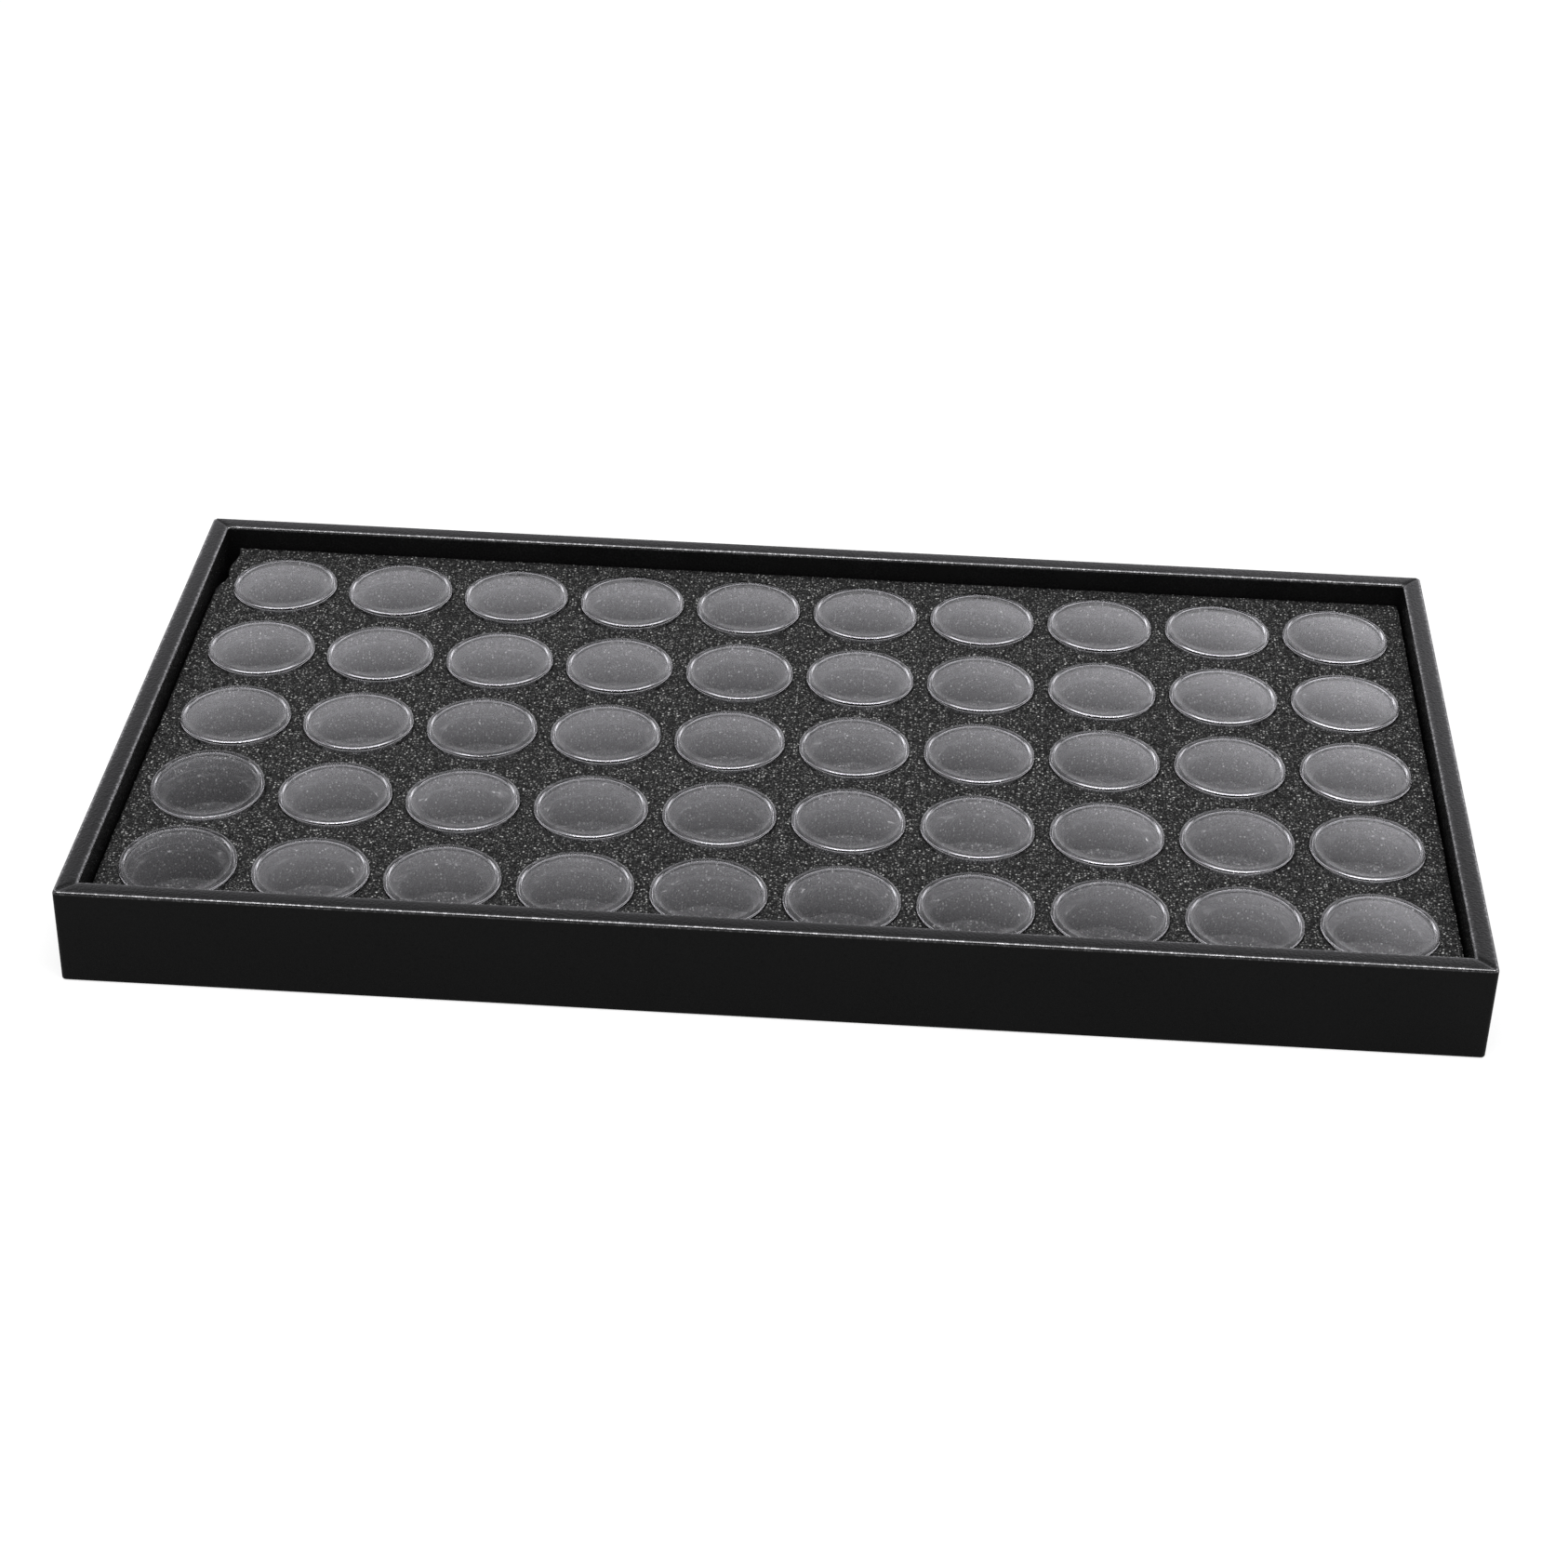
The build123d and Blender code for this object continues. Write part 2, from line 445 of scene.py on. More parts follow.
def lining_finish(colour):
    """Flocked lining paper: a faint weave of emboss lines under a matt nap."""
    material = bpy.data.materials.new("lining_paper")
    make = Finish(material)
    place = make.place()
    nap = make.add("ShaderNodeTexNoise", None, 0, Vector=place, Scale=1500.0, Detail=3.0)
    emboss = make.add(
        "ShaderNodeTexVoronoi", {"feature": "DISTANCE_TO_EDGE"}, 0, Vector=place, Scale=620.0
    )
    tone = make.mix(nap, rgba(colour, 0.7), rgba(colour, 1.5))
    make.surface(
        Base_Color=tone,
        Roughness=0.86 + nap * 0.08,
        Specular_IOR_Level=0.3,
        Normal=make.bump(emboss.clamped() * 0.6 + nap * 0.4, 0.5, 0.00012),
    )
    return material


def floor_finish():
    """Pale floor that reads as white to the camera and through clear plastic, and still takes a
    shadow.
    """
    material = bpy.data.materials.new("pale_floor")
    make = Finish(material)
    seen = light_seen(make)
    make.surface(
        Base_Color=(0.38, 0.38, 0.38, 1),
        Roughness=0.9,
        Specular_IOR_Level=0.1,
        Emission_Color=make.mix(seen, (0, 0, 0, 1), (1, 1, 1, 1)),
        Emission_Strength=0.72,
    )
    return material


def light_seen(make):
    """1 for rays from the camera and through clear plastic, and 0 for gloss and plain light."""
    rays = make.add("ShaderNodeLightPath", None, "Is Camera Ray")
    return (rays + make.beside(rays, "Is Transmission Ray")).clamped()


def put_mesh(name, points, faces, material, body, slot, *replaced, wear=None):
    """Makes one closed piece of points and quads, welds its seams and poles, and sets its body.

    Wear, where given, is kept on its points as an attribute of that name for the material.
    """
    mesh = bpy.data.meshes.new(name)
    mesh.from_pydata(points.reshape(-1, 3).tolist(), [], faces.reshape(-1, 4).tolist())
    if wear is not None:
        mesh.attributes.new("wear", "FLOAT", "POINT").data.foreach_set("value", wear.ravel())
    shell = bmesh.new()
    shell.from_mesh(mesh)
    bmesh.ops.remove_doubles(shell, verts=shell.verts, dist=WELD)
    bmesh.ops.dissolve_degenerate(shell, edges=shell.edges, dist=SLIVER)
    bmesh.ops.recalc_face_normals(shell, faces=shell.faces)
    shell.to_mesh(mesh)
    shell.free()
    mesh.polygons.foreach_set("use_smooth", np.ones(len(mesh.polygons), bool))
    mesh.materials.append(material)
    piece = bpy.data.objects.new(name, mesh)
    bpy.context.scene.collection.objects.link(piece)
    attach(piece, body)
    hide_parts(*replaced)
    return piece


def grid_faces(rows, columns, around_rows=False, around_columns=False):
    """Quads of a grid of points, each from a point, its neighbours and the one diagonal to it."""
    row = np.arange(rows if around_rows else rows - 1)[:, None]
    column = np.arange(columns if around_columns else columns - 1)[None, :]
    below, beside = (row + 1) % rows, (column + 1) % columns
    here, under = row * columns, below * columns
    return np.stack([here + column, here + beside, under + beside, under + column], axis=-1)


def arc(centre, radius, start, end, steps):
    """Points of a round: centre plus radius times cosine and sine, with angles in degrees."""
    angle = np.radians(np.linspace(start, end, steps))
    return np.array(centre) + radius * np.stack([np.cos(angle), np.sin(angle)], axis=-1)


def smooth_noise(x, y, seed, waves=7, finest=0.02):
    """Gentle unevenness from -1 to 1: sine waves of drawn directions, lengths and phases."""
    draw = np.random.default_rng(seed)
    angle = draw.uniform(0, 2 * np.pi, waves)
    pitch = draw.uniform(finest, 5 * finest, waves)
    phase = draw.uniform(0, 2 * np.pi, waves)
    total = np.zeros(np.broadcast(x, y).shape)
    for across, up, turn, start in zip(np.cos(angle), np.sin(angle), 2 * np.pi / pitch, phase):
        total += np.sin(turn * (x * across + y * up) + start)
    return total / waves


def turned(profile, centres, sides):
    """A solid of revolution at each centre: a profile's radius and height, carried round Z."""
    angle = np.linspace(0, 2 * np.pi, sides, endpoint=False)
    radius, height = profile[:, 0, None], profile[:, 1, None]
    ring = np.stack([radius * np.cos(angle), radius * np.sin(angle), height + 0 * angle], axis=-1)
    points = centres[:, None, None, :] + ring[None]
    faces = grid_faces(len(profile), sides, around_columns=True)
    count = len(profile) * sides
    faces = faces[None] + count * np.arange(len(centres))[:, None, None, None]
    return points, faces


def rim_section(sizes, height):
    """Closed section of the wrap, as inset from the outer face and height.

    It runs over the hem, the foot edge, the outer face, the two rounded edges of the rim with a
    parabola for a crown between them, and the inner face, then back inside the skin.
    """
    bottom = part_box("base_panel")[1].z
    skin, wall, rim, foot = sizes.skin, sizes.wall, sizes.rim_edge, sizes.foot_edge
    face_top = height - rim - 1.0 * MM
    outer_face = np.stack([np.zeros(9), np.linspace(foot + 1.0 * MM, face_top, 9)], axis=-1)
    place = np.linspace(-0.9, 0.9, 7)
    crowned = height - sizes.rim_crown * place ** 2
    top = np.stack([wall / 2 + place * (wall / 2 - rim), crowned], axis=-1)
    inner_face = np.stack([np.full(8, wall), np.linspace(face_top, bottom, 8)], axis=-1)
    round_z = height - rim - sizes.rim_crown
    outside = np.concatenate([
        [[sizes.hem, 0.0], [sizes.hem * 0.5, 0.0]],
        arc((foot, foot), foot, -90, -180, 5),
        outer_face,
        arc((rim, round_z), rim, 180, 95, 9),
        top,
        arc((wall - rim, round_z), rim, 85, 0, 9),
        inner_face,
    ])
    back = np.array([
        [wall - skin, bottom],
        [wall - skin, height - skin],
        [skin, height - skin],
        [skin, skin],
        [sizes.hem, skin],
    ])
    return outside, back


def along_rectangle(width, depth, inset, corner, per_long, per_short, per_corner):
    """A rounded rectangle at each inset, walked anticlockwise with the same number of points.

    A side is straight between its corners, with its points nearer together at the ends; a corner is
    a quarter circle whose radius shrinks with the inset. Returns x, y and outward x, y.
    """
    sharpest = 0.12 * MM
    radius = np.maximum(corner - inset, sharpest)
    half_x, half_y = width / 2 - inset - radius, depth / 2 - inset - radius
    xs, ys, normal_x, normal_y = [], [], [], []
    signs = ((1, -1), (1, 1), (-1, 1), (-1, -1))
    for quarter, (sign_x, sign_y) in enumerate(signs):
        angle = np.radians(np.linspace(-90 + 90 * quarter, 90 * quarter, per_corner))[None, :]
        xs.append(sign_x * half_x[:, None] + radius[:, None] * np.cos(angle))
        ys.append(sign_y * half_y[:, None] + radius[:, None] * np.sin(angle))
        normal_x.append(np.repeat(np.cos(angle), len(inset), axis=0))
        normal_y.append(np.repeat(np.sin(angle), len(inset), axis=0))
        count = per_short if quarter % 2 == 0 else per_long
        evenly = np.linspace(0, 1, count + 2)[1:-1]
        share = (evenly + 0.5 * (1 - np.cos(np.pi * evenly)))[None, :] / 2
        next_x, next_y = signs[(quarter + 1) % 4]
        out = np.radians(90 * quarter)
        start_x = sign_x * half_x + radius * np.cos(out)
        start_y = sign_y * half_y + radius * np.sin(out)
        end_x = next_x * half_x + radius * np.cos(out)
        end_y = next_y * half_y + radius * np.sin(out)
        xs.append(start_x[:, None] + (end_x - start_x)[:, None] * share)
        ys.append(start_y[:, None] + (end_y - start_y)[:, None] * share)
        normal_x.append(np.full((len(inset), count), np.cos(out)))
        normal_y.append(np.full((len(inset), count), np.sin(out)))
    return [np.concatenate(parts, axis=1) for parts in (xs, ys, normal_x, normal_y)]


class JARTRAY_OT_wrap(bpy.types.Operator):
    """Wrap the tray in grained leatherette with mitred rim corners"""

    bl_idname = "jartray.wrap"
    bl_label = "Leatherette wrap"

    def execute(self, context):
        """Carries the section round the tray, and sinks its outside a little along its normals.

        The depth is a ripple of sine waves plus the grooves of the seams, each exp(-(d / width)^2)
        of the distance d to the seam. Wear is the same bell over the distance to a rim edge.
        """
        sizes = context.scene.jar_tray
        low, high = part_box("leatherette_wrap")
        width, depth, height = high - low
        outside, back = rim_section(sizes, height)
        section = np.concatenate([outside, back])
        x, y, normal_x, normal_y = along_rectangle(
            width, depth, section[:, 0], sizes.corner, per_long=150, per_short=90, per_corner=7
        )
        z = np.repeat(section[:, 1][:, None], x.shape[1], axis=1)
        tangent = np.gradient(outside, axis=0)
        tangent /= np.linalg.norm(tangent, axis=1)[:, None]
        inward = np.zeros((len(section), 2))
        inward[: len(outside)] = np.stack([tangent[:, 1], -tangent[:, 0]], axis=-1)
        inward[:2] = inward[-len(back) - 1] = 0
        to_mitre = np.abs((width / 2 - np.abs(x)) - (depth / 2 - np.abs(y))) / math.sqrt(2)
        on_top = z > height - sizes.rim_edge * 0.6
        mitre = np.exp(-((to_mitre / (0.5 * sizes.seam_width)) ** 2)) * on_top
        behind = y > depth / 2 - 2 * sizes.corner
        butt = np.exp(-(((x + sizes.butt_seam) / sizes.seam_width) ** 2)) * behind
        ripple = 0.5 + 0.5 * smooth_noise(x + 0.7 * z, y - 0.4 * z, 11, finest=0.03)
        sunk = sizes.ripple * ripple + sizes.seam_depth * np.maximum(mitre, butt)
        step_out, step_up = inward[:, 0, None] * sunk, inward[:, 1, None] * sunk
        points = np.stack([x - normal_x * step_out, y - normal_y * step_out, z + step_up], axis=-1)
        points[..., 2] = np.clip(points[..., 2], 0, height)
        inset, up = section[:, 0], section[:, 1]
        edge = sizes.rim_edge
        from_edge = np.minimum(inset, sizes.wall - inset) - 0.4 * edge
        wear = np.exp(-((from_edge / (0.55 * edge)) ** 2)) * (up > height - edge)
        wear[len(outside):] = 0
        put_mesh(
            "leatherette_skin", points, grid_faces(*x.shape, True, True),
            leatherette_finish(sizes), "tray", "leatherette", "leatherette_wrap",
            wear=np.repeat(wear[:, None], x.shape[1], axis=1),
        )
        return {"FINISHED"}


class JARTRAY_OT_core(bpy.types.Operator):
    """Finish the rails, the base panel and the lining sheet under the tray"""

    bl_idname = "jartray.core"
    bl_label = "Rails, base and lining"

    def execute(self, context):
        """Gives the hard parts of the tray their own materials, in the slots that they have."""
        sizes = context.scene.jar_tray
        wood = wood_finish(sizes.wood)
        finishes = {
            "front_rail": wood,
            "rear_rail": wood,
            "left_rail": wood,
            "right_rail": wood,
            "base_panel": board_finish(sizes.board),
            "underside_sheet": lining_finish(sizes.lining),
        }
        for node, material in finishes.items():
            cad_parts[node].data.materials[0] = material
        return {"FINISHED"}


def cell_lines(low, high, first, last, count):
    """Borders of the cells round a row of holes: the foam's two edges, and midway between holes."""
    middles = np.linspace(first, last, count)
    return np.concatenate([[low], (middles[1:] + middles[:-1]) / 2, [high]])


def square_walk(per_side):
    """Points on the border of a square from -1 to 1, anticlockwise from its lower left corner."""
    along = np.linspace(-1, 1, per_side, endpoint=False)
    one = np.ones(per_side)
    u = np.concatenate([along, one, -along, -one])
    v = np.concatenate([-one, along, one, -along])
    return u, v


class JARTRAY_OT_foam(bpy.types.Operator):
    """Cut the foam insert: a punched sheet with rolled hole edges, on a plain backing"""

    bl_idname = "jartray.foam"
    bl_label = "Foam insert"

    def execute(self, context):
        """Lays each cell as rings from its hole to its square border, with shared borders welded.

        A point of a ring lies on the straight line from the hole's circle to the border. The face
        rolls down by lip times exp(-distance / lip) at a hole, and swells by a sum of sine waves
        between. The outline is cut by hand: it wanders, with a nick at the rear left corner.
        """
        sizes = context.scene.jar_foam
        low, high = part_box("foam_sheet")
        first, last = lid_centre(FIRST_LID), lid_centre(f"lid_r{ROWS}_c{COLUMNS}")
        lines_x = cell_lines(low.x, high.x, first.x, last.x, COLUMNS)
        lines_y = cell_lines(low.y, high.y, last.y, first.y, ROWS)
        u, v = square_walk(16)
        turn = np.arctan2(v, u)
        centre_x = np.linspace(first.x, last.x, COLUMNS)[None, :, None]
        centre_y = np.linspace(last.y, first.y, ROWS)[:, None, None]
        border_x = (lines_x[:-1, None] + (u + 1) / 2 * np.diff(lines_x)[:, None])[None]
        border_y = (lines_y[:-1, None] + (v + 1) / 2 * np.diff(lines_y)[:, None])[:, None]
        border_x, border_y = np.broadcast_arrays(border_x, border_y)
        wander = sizes.cut * (0.5 + 0.5 * smooth_noise(border_x, border_y, 5, finest=0.012))
        at_edge = {
            "left": border_x < low.x + TOUCHING, "right": border_x > high.x - TOUCHING,
            "front": border_y < low.y + TOUCHING, "rear": border_y > high.y - TOUCHING,
        }
        below_corner = (high.y - border_y) / sizes.nick_reach
        ragged = 1 + 0.3 * np.sin(9 * below_corner)
        nick = sizes.notch * np.clip(4.0 * (1.0 - below_corner), 0, 1) * ragged
        border_x = border_x + (wander + nick) * at_edge["left"] - wander * at_edge["right"]
        border_y = border_y + wander * (at_edge["front"] * 0.4 - at_edge["rear"] * 1.0)
        circle_x = centre_x + sizes.hole * np.cos(turn)
        circle_y = centre_y + sizes.hole * np.sin(turn)
        reach = np.hypot(border_x - circle_x, border_y - circle_y)
        shares = [step * MM / reach for step in (0.0, 0.10, 0.26, 0.5, 0.85)]
        shares += [shares[-1] + (1 - shares[-1]) * part for part in (0.3, 0.6, 0.85, 1.0)]
        share = np.stack(shares, axis=2)
        x = circle_x[:, :, None] + (border_x - circle_x)[:, :, None] * share
        y = circle_y[:, :, None] + (border_y - circle_y)[:, :, None] * share
        from_hole = share * reach[:, :, None]
        roll = sizes.lip * np.exp(-from_hole / sizes.lip)
        swell = 0.5 + 0.5 * smooth_noise(x, y, 3, waves=12, finest=0.006)
        z = high.z - roll - sizes.swell * swell - 0.05 * MM
        top = np.stack([x, y, z], axis=-1)
        wall = top[:, :, :1].repeat(4, axis=2)
        drop = np.array([1.0, 0.66, 0.33, 0.0])[None, None, :, None]
        wall[..., 2] = low.z + (wall[..., 2] - low.z) * (1 - drop)
        foot = top[:, :, -1:].copy()
        foot[..., 2] = low.z
        loop = np.concatenate([foot, wall, top[:, :, 1:]], axis=2)
        rings, around = loop.shape[2], loop.shape[3]
        faces = grid_faces(rings, around, around_columns=True)
        cells = np.arange(ROWS * COLUMNS)[:, None, None, None] * rings * around
        sides = self.outline_sides(at_edge, rings, around)
        faces = np.concatenate([(faces[None] + cells).reshape(-1, 4), sides])
        sheet = put_mesh(
            "foam_sheet_dressed", loop, faces, foam_finish(sizes, "charcoal_foam"),
            "insert", "foam", "foam_sheet",
        )
        self.backing(sizes)
        return {"FINISHED"}

    def outline_sides(self, at_edge, rings, around):
        """Quads of the foam's outer sides, from the last ring of the top to the foot below it.

        There is one wherever two neighbouring border points lie on the same edge of the sheet.
        """
        foot = np.arange(ROWS * COLUMNS).reshape(ROWS, COLUMNS, 1) * rings * around
        top = foot + (rings - 1) * around
        here = np.arange(around)[None, None, :]
        following = (here + 1) % around
        quads = np.stack([top + here, top + following, foot + following, foot + here], axis=-1)
        found = [quads[edge & np.roll(edge, -1, axis=2)] for edge in at_edge.values()]
        return np.concatenate(found)

    def backing(self, sizes):
        """A flat sheet: a grid that swells by a sum of sine waves, the same grid flat below it, and
        a skirt of quads round both."""
        low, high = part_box("foam_backing")
        steps_x, steps_y = 72, 40
        x, y = np.meshgrid(
            np.linspace(low.x, high.x, steps_x), np.linspace(low.y, high.y, steps_y)
        )
        swell = 0.12 * MM * (0.5 + 0.5 * smooth_noise(x, y, 8, finest=0.01))
        upper = np.stack([x, y, high.z - 0.02 * MM - swell], axis=-1)
        lower = np.stack([x, y, np.full(x.shape, low.z)], axis=-1)
        points = np.stack([lower, upper])
        plane = grid_faces(steps_y, steps_x).reshape(-1, 4)
        count = steps_x * steps_y
        index = np.arange(count).reshape(steps_y, steps_x)
        outline = np.concatenate(
            [index[0, :-1], index[:-1, -1], index[-1, :0:-1], index[:0:-1, 0]]
        )
        beside = np.roll(outline, -1)
        skirt = np.stack([outline, beside, beside + count, outline + count], axis=-1)
        faces = np.concatenate([plane[:, ::-1], plane + count, skirt])
        # The backing has the same painted shade in its pits, and painted glints at 0.9.
        piece = put_mesh(
            "foam_backing_dressed", points, faces, foam_finish(sizes, "backing_foam", 0.9),
            "insert", "foam", "foam_backing",
        )


class JARTRAY_OT_cups(bpy.types.Operator):
    """Mould the clear cups, each with a neck for its lid"""

    bl_idname = "jartray.cups"
    bl_label = "Clear cups"

    def execute(self, context):
        """Turns one profile at each jar: foot, side, shoulder, neck, rim, bore, floor."""
        sizes = context.scene.jar_jars
        low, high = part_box("jar_cups")
        lid_low, lid_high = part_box(FIRST_LID)
        radius = (lid_high.x - lid_low.x) / 2
        neck = radius - sizes.lid_wall - sizes.neck_gap
        bore = neck - sizes.cup_wall
        rim = high.z - low.z
        shoulder = rim - sizes.skirt - sizes.skirt_gap
        foot, fillet, floor = sizes.foot_fillet, sizes.floor_fillet, sizes.cup_floor
        lip, chamfer, cove, hold = 0.25 * MM, 0.3 * MM, 0.2 * MM, 0.05 * MM
        profile = np.concatenate([
            [[0.0, 0.0]],
            arc((radius - foot, foot), foot, -90, 0, 5),
            [[radius, shoulder - chamfer], [radius - chamfer, shoulder], [neck + cove, shoulder]],
            [[neck, shoulder + cove], [neck, rim - 2.4 * lip]],
            arc((neck - lip, rim - lip), lip, 0, 90, 3),
            arc((bore + lip, rim - lip), lip, 90, 180, 3),
            [[bore, floor + fillet + hold]],
            arc((bore - fillet, floor + fillet), fillet, 0, -90, 6),
            [[bore - fillet - hold, floor], [0.0, floor]],
        ])
        centres = np.array([[*lid_centre(name).xy, low.z] for name in LID_NODES])
        points, faces = turned(profile, centres, 60)
        put_mesh(
            "clear_cups", points, faces, clear_finish(sizes.clear, "clear_cup", 0.02, 1.2),
            "insert", "clear_cup", "jar_cups",
        )
        return {"FINISHED"}


class JARTRAY_OT_lids(bpy.types.Operator):
    """Mould the clear push-on lids, each on its own body"""

    bl_idname = "jartray.lids"
    bl_label = "Clear lids"

    def execute(self, context):
        """Turns one profile for each lid, then tilts and warps the lid a little by drawn amounts.

        The tilt turns all of it, about its lowest edge. The warp is a saddle, x squared less y
        squared and x times y, which fades to nothing at the lower edge. Two lids are tilted more,
        because they aren't pressed home.
        """
        sizes = context.scene.jar_jars
        material = clear_finish(sizes.clear, "clear_lid", 0.015, 1.5)
        draw = np.random.default_rng(21)
        for name in LID_NODES:
            low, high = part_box(name)
            middle = lid_centre(name)
            radius, height = (high.x - low.x) / 2, high.z - low.z
            points, faces = turned(self.profile(sizes, radius, height), np.zeros((1, 3)), 84)
            points = points[0]
            tilt = draw.uniform(-1, 1, 2) * sizes.tilt
            if name in LOOSE_LIDS:
                tilt[1] += sizes.loose
            warp = draw.uniform(-1, 1, 2) * sizes.warp
            x, y = points[..., 0], points[..., 1]
            saddle = (warp[0] * (x ** 2 - y ** 2) + warp[1] * 2 * x * y) / radius ** 2
            lean = tilt[0] * x + tilt[1] * y + np.hypot(*tilt) * radius
            upper = np.clip(points[..., 2] / height, 0, 1)
            points[..., :2] -= tilt * points[..., 2:]
            points[..., 2] += lean + saddle * 0.5 * upper
            points += np.array([middle.x, middle.y, low.z])
            put_mesh(f"clear_{name}", points, faces, material, name, "clear_lid", name)
        return {"FINISHED"}

    def profile(self, sizes, radius, height):
        """Radius and height of a lid's section, from the middle of its face to the middle below.

        The crown is a parabola, the same above and below, so the plate keeps its thickness. A small
        step leads up to the border. The border rolls off over two rounds that share a tangent: the
        wide brow from 4 to 30 degrees, and the edge from there to upright. The skirt steps out
        below it, and the hem is chamfered.
        """
        edge, brow, bore = sizes.lid_edge, sizes.brow, radius - sizes.lid_wall
        face_edge = radius - sizes.ring
        border = height - sizes.sink
        face_level = border - sizes.step
        across = np.linspace(0, 1, 9)
        face = np.stack([face_edge * across, face_level + sizes.crown * (1 - across ** 2)], axis=-1)
        ridge = face_edge + 2.2 * sizes.step
        shallow, steep = math.radians(4), math.radians(30)
        edge_x = radius - sizes.ledge - edge
        brow_x = edge_x + edge * math.sin(steep) - brow * math.sin(steep)
        step_z = height - sizes.ledge_drop
        edge_z = border - brow * (math.cos(shallow) - math.cos(steep)) - edge * math.cos(steep)
        upper, lower = radius - sizes.ledge, step_z - 0.8 * sizes.ledge
        under = height - sizes.plate
        chamfer, hold, flat, inside = 0.06 * MM, 0.35 * MM, 0.3 * MM, 0.3 * MM
        below = np.linspace(1, 0, 7)
        hollow_edge = bore - inside - 0.2 * MM
        hollow = np.stack([hollow_edge * below, under + sizes.crown * (1 - below ** 2)], axis=-1)
        return np.concatenate([
            face,
            [[face_edge + 0.4 * sizes.step, face_level + 0.12 * sizes.step]],
            [[ridge - 0.4 * sizes.step, border - 0.12 * sizes.step]],
            [[ridge, border], [ridge + 0.05 * MM, border]],
            arc((brow_x, border - brow * math.cos(shallow)), brow, 86, 60, 7),
            arc((edge_x, edge_z), edge, 60, 0, 8)[1:],
            [[upper, step_z + chamfer], [upper, step_z]],
            [[radius, lower], [radius, lower - chamfer]],
            [[radius, hold], [radius, chamfer], [radius - chamfer, 0.0], [radius - flat, 0.0]],
            [[bore + flat, 0.0], [bore + chamfer, 0.0], [bore, chamfer], [bore, hold]],
            [[bore, under - inside - 0.1 * MM]],
            arc((bore - inside, under - inside), inside, 0, 80, 4),
            hollow,
        ])


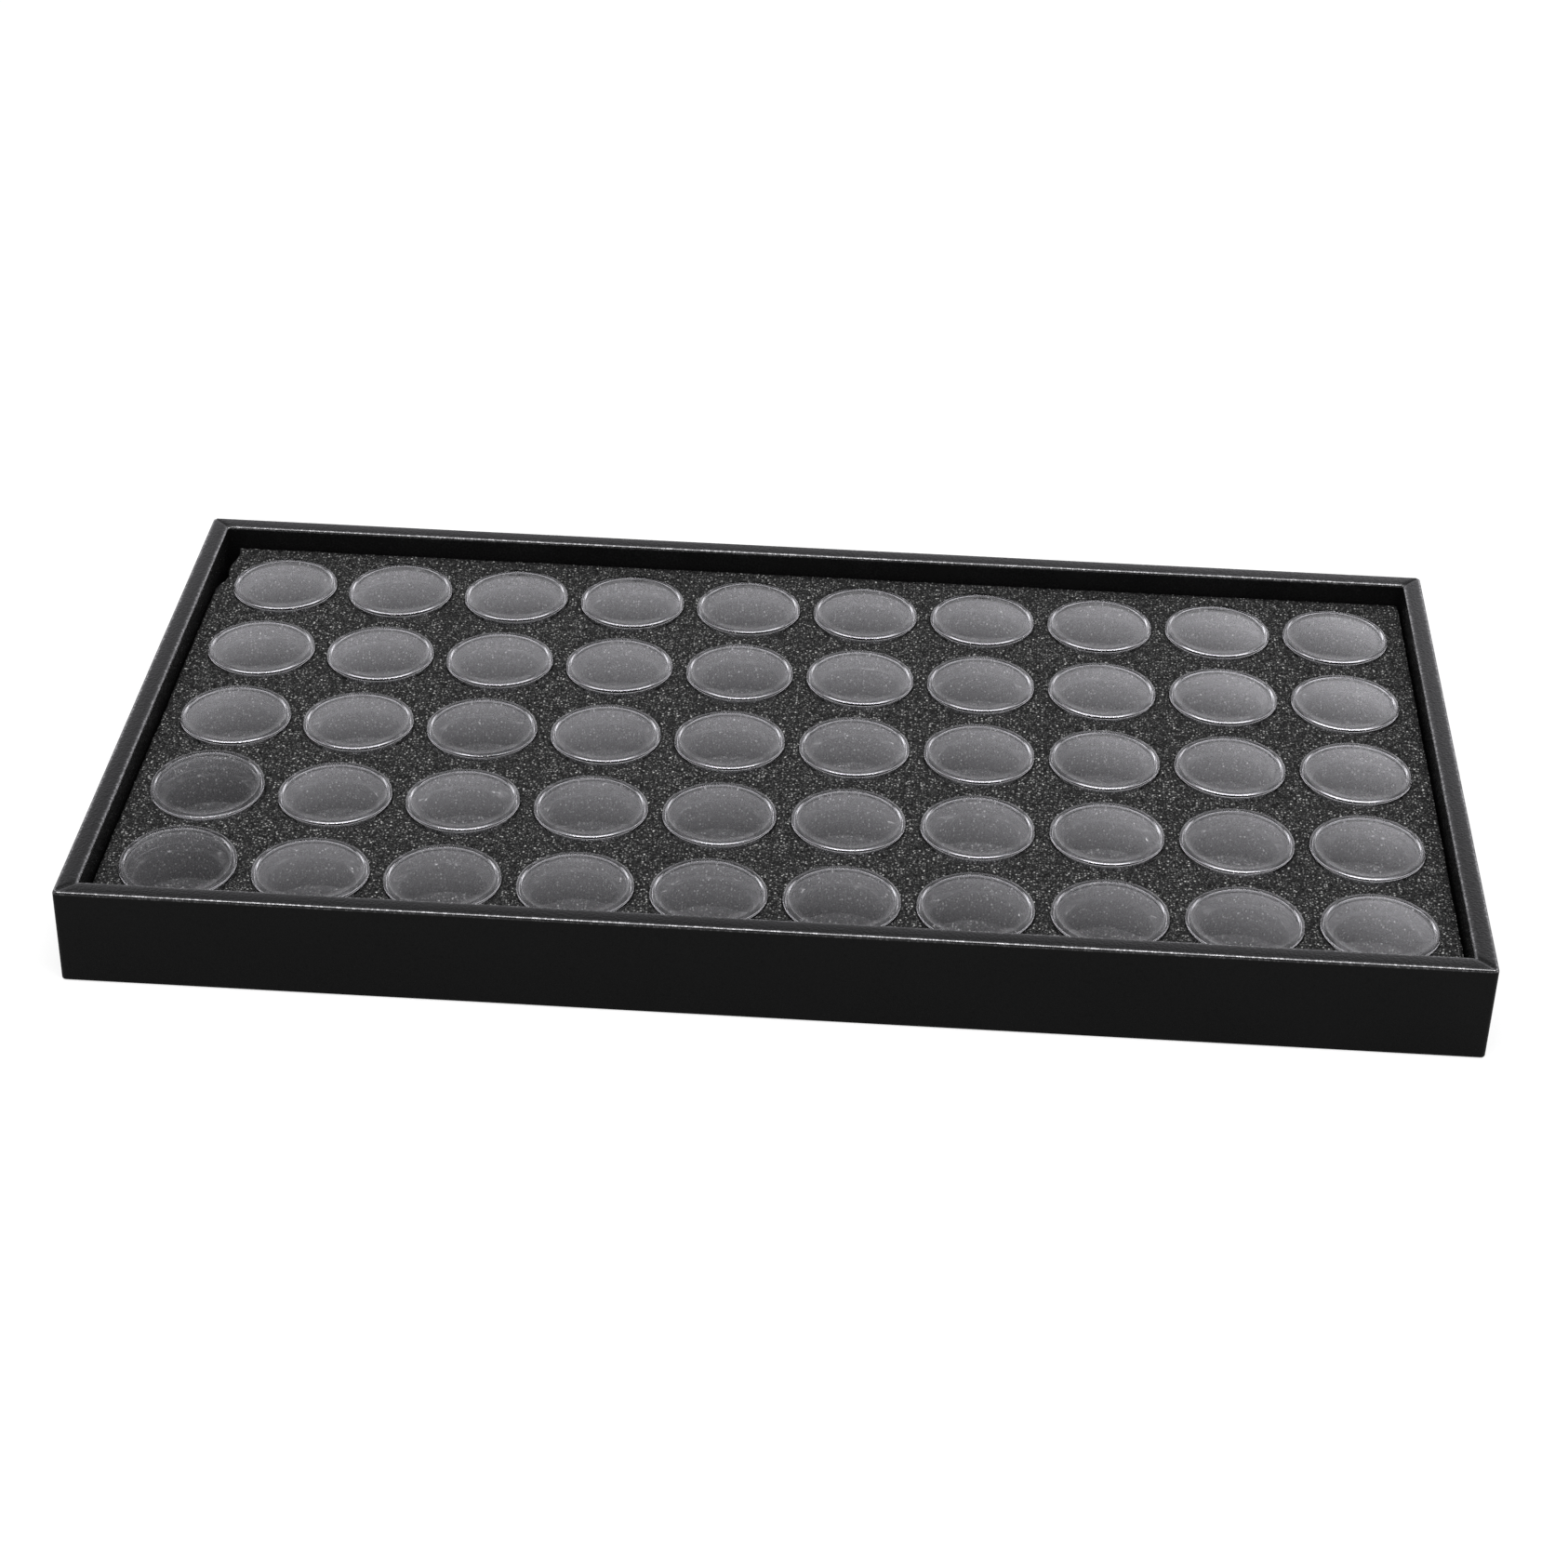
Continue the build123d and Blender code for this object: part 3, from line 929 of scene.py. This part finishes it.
class JARTRAY_OT_stage(bpy.types.Operator):
    """Set the pale floor, the soft light and the camera"""

    bl_idname = "jartray.stage"
    bl_label = "Stage"

    def execute(self, context):
        """Places the floor, an overhead strip, a softbox behind the tray, room light and camera."""
        sizes = context.scene.jar_stage
        half, level = 6.0, -0.2 * MM
        corners = [(-half, -half), (half, -half), (half, half), (-half, half)]
        mesh = bpy.data.meshes.new("floor")
        mesh.from_pydata([(*corner, level) for corner in corners], [], [(0, 1, 2, 3)])
        mesh.materials.append(floor_finish())
        floor = bpy.data.objects.new("floor", mesh)
        context.scene.collection.objects.link(floor)
        strip = self.lamp("overhead_strip", place=(0.0, -0.42, 1.3), size=(1.8, 0.16), power=13.0)
        rear = self.lamp("rear_softbox", place=(0.5, 1.5, 1.1), size=(1.2, 1.2), power=9.0)
        rear.visible_glossy = rear.visible_transmission = strip.visible_transmission = False
        self.world(context, sizes)
        self.camera(context, sizes)
        context.scene.view_settings.view_transform = "Standard"
        return {"FINISHED"}

    def lamp(self, name, place, size, power):
        """A softbox at a place, so wide and so high, turned to the origin."""
        light = bpy.data.lights.new(name, "AREA")
        light.shape = "RECTANGLE"
        light.size, light.size_y = size
        light.energy = power
        lamp = bpy.data.objects.new(name, light)
        bpy.context.scene.collection.objects.link(lamp)
        lamp.location = place
        lamp.rotation_euler = (-Vector(place)).to_track_quat("-Z", "Y").to_euler()
        return lamp

    def world(self, context, sizes):
        """White where it is seen, and a plain even light elsewhere.

        What the tray and the jars mirror is a product of three grey ramps: by height, from left to
        right, and from front to rear, where the last stays lit near the floor. A bright patch
        straight overhead is mirrored too, but not seen through plastic. Rays that have bounced off
        a matt surface get the plain light alone.
        """
        world = context.scene.world or bpy.data.worlds.new("room")
        context.scene.world = world
        make = Finish(world)
        towards = make.add("ShaderNodeTexCoord", None, "Generated")
        height = make.add("ShaderNodeSeparateXYZ", None, "Z", towards)
        side = make.beside(height, "X") * 0.5 + 0.5
        depth = make.beside(height, "Y") * 0.5 + 0.5
        rays = make.add("ShaderNodeLightPath", None, "Is Camera Ray")
        direct = 1.0 - make.beside(rays, "Diffuse Depth").clamped()
        outside = 1.0 - make.beside(rays, "Transmission Depth").clamped()
        gloss = make.beside(rays, "Is Glossy Ray") * direct
        through = make.beside(rays, "Is Transmission Ray") * direct
        sky = make.ramp(
            height, (0.0, 0.4), (0.25, 0.62), (0.46, 0.72), (0.56, 0.46), (0.66, 0.24), (0.82, 0.2)
        )
        across = make.ramp(side, (0.33, 0.9), (0.41, 0.66), (0.5, 0.7), (0.545, 0.85), (0.58, 1.05))
        facing = make.ramp(depth, (0.0, 0.12), (0.38, 0.16), (0.5, 0.75), (0.58, 1.0))
        facing = facing.maths("MAXIMUM", make.ramp(height, (0.28, 0.6), (0.42, 0.0)))
        zenith = make.ramp(height, (0.91, 0.0), (0.96, 1.0)) * gloss * outside
        sky = sky * across * facing * 2.5 + zenith * 4.0
        upward = make.ramp(height, (0.1, 0.0), (0.3, 1.0))
        mirrored = (gloss + through * upward).clamped() * (1.0 - rays)
        seen = (rays + through).clamped()
        strength = (1.0 - seen) * sizes.level + seen
        strength = strength * (1.0 - mirrored) + mirrored * sky
        colour = make.mix(gloss, (1, 1, 1, 1), (0.985, 0.975, 1.02, 1))
        background = make.add("ShaderNodeBackground", None, None, colour, strength)
        output = make.tree.nodes.new("ShaderNodeOutputWorld")
        make.tree.links.new(background.socket, output.inputs["Surface"])

    def camera(self, context, sizes):
        """A camera at the photograph's place, aimed near the middle of the tray and rolled."""
        data = bpy.data.cameras.new("camera")
        data.sensor_fit = "HORIZONTAL"
        data.sensor_width = SENSOR_MM
        data.lens = sizes.lens
        camera = bpy.data.objects.new("camera", data)
        context.scene.collection.objects.link(camera)
        place = Vector((sizes.camera_x, sizes.camera_y, sizes.camera_z))
        aim = Vector((sizes.aim_x, sizes.aim_y, sizes.aim_z))
        forward = (aim - place).normalized()
        level = forward.cross(Vector((0, 0, 1))).normalized()
        upright = level.cross(forward)
        right = level * math.cos(sizes.roll) + upright * math.sin(sizes.roll)
        up = right.cross(forward)
        turn = Matrix((right, up, -forward)).transposed().to_4x4()
        camera.matrix_world = Matrix.Translation(place) @ turn
        context.scene.camera = camera


class JARTRAY_PT_panel(bpy.types.Panel):
    """Sizes and steps of the jar tray, in the sidebar"""

    bl_idname = "JARTRAY_PT_panel"
    bl_label = "Jar tray"
    bl_space_type = "VIEW_3D"
    bl_region_type = "UI"
    bl_category = "Jar tray"

    def draw(self, context):
        """Lists the steps, then the sizes and colours of each group."""
        for step in STEPS:
            self.layout.operator(step.bl_idname)
        for name, _ in GROUPS:
            box = self.layout.box()
            group = getattr(context.scene, name)
            for key in group.__annotations__:
                box.prop(group, key)


GROUPS = (
    ("jar_tray", TraySizes),
    ("jar_foam", FoamSizes),
    ("jar_jars", JarSizes),
    ("jar_stage", StageSizes),
)
STEPS = (
    JARTRAY_OT_wrap,
    JARTRAY_OT_core,
    JARTRAY_OT_foam,
    JARTRAY_OT_cups,
    JARTRAY_OT_lids,
    JARTRAY_OT_stage,
)


def register():
    """Registers the groups, the steps and the panel."""
    for name, group in GROUPS:
        bpy.utils.register_class(group)
        setattr(bpy.types.Scene, name, bpy.props.PointerProperty(type=group))
    for step in (*STEPS, JARTRAY_PT_panel):
        bpy.utils.register_class(step)


def unregister():
    """Takes them off again, last first."""
    for step in reversed((*STEPS, JARTRAY_PT_panel)):
        bpy.utils.unregister_class(step)
    for name, group in reversed(GROUPS):
        delattr(bpy.types.Scene, name)
        bpy.utils.unregister_class(group)


def main():
    """Runs every step in order."""
    register()
    bpy.ops.jartray.wrap()
    bpy.ops.jartray.core()
    bpy.ops.jartray.foam()
    bpy.ops.jartray.cups()
    bpy.ops.jartray.lids()
    bpy.ops.jartray.stage()


if __name__ == "__main__":
    main()
